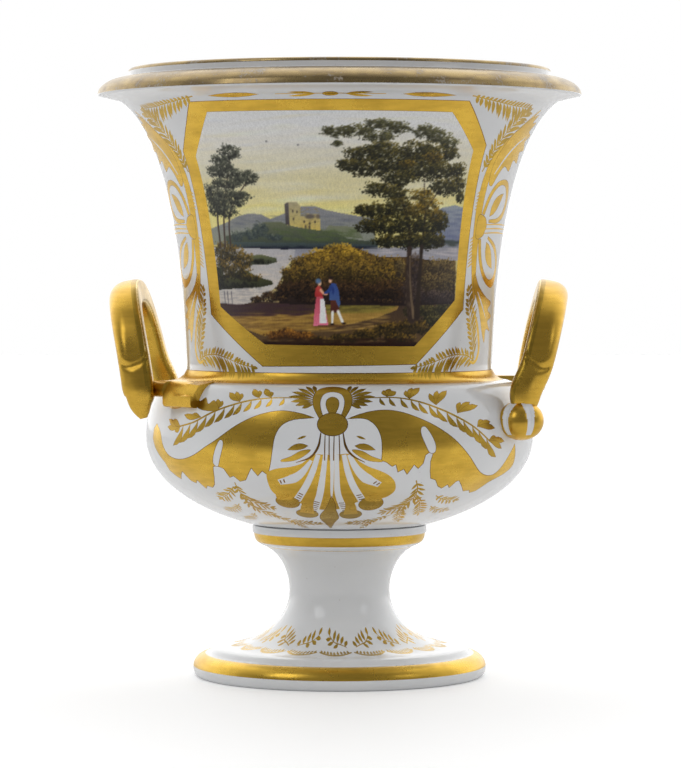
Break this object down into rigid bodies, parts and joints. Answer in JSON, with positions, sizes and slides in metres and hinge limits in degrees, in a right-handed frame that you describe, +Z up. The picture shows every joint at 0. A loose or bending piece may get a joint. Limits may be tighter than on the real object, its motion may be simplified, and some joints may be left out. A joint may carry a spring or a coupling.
{
  "type": "campana vase",
  "caption": "Footed bell-shaped vase with a flaring lip, low round bowl, socle foot and a leaning gilt loop handle on each side.",
  "frame": {"origin": "centre of the underside, where the foot ring stands on the table", "axes": "+Z up along the turning axis; the painted front faces -Y; the handles stand at +X and -X"},
  "size_m": [0.2536, 0.2536, 0.3184],
  "materials": {
    "porcelain": "glossy white glaze with burnished gilding and an enamelled landscape panel",
    "foot_porcelain": "glossy bluish white glaze with gilt bands and sprigs",
    "gilding": "moulded porcelain gilt all over, burnished and slightly worn"
  },
  "bodies": {
    "root": {"body": "porcelain", "foot": "foot_porcelain", "handle_left": "gilding", "handle_right": "gilding"}
  },
  "joints": []
}
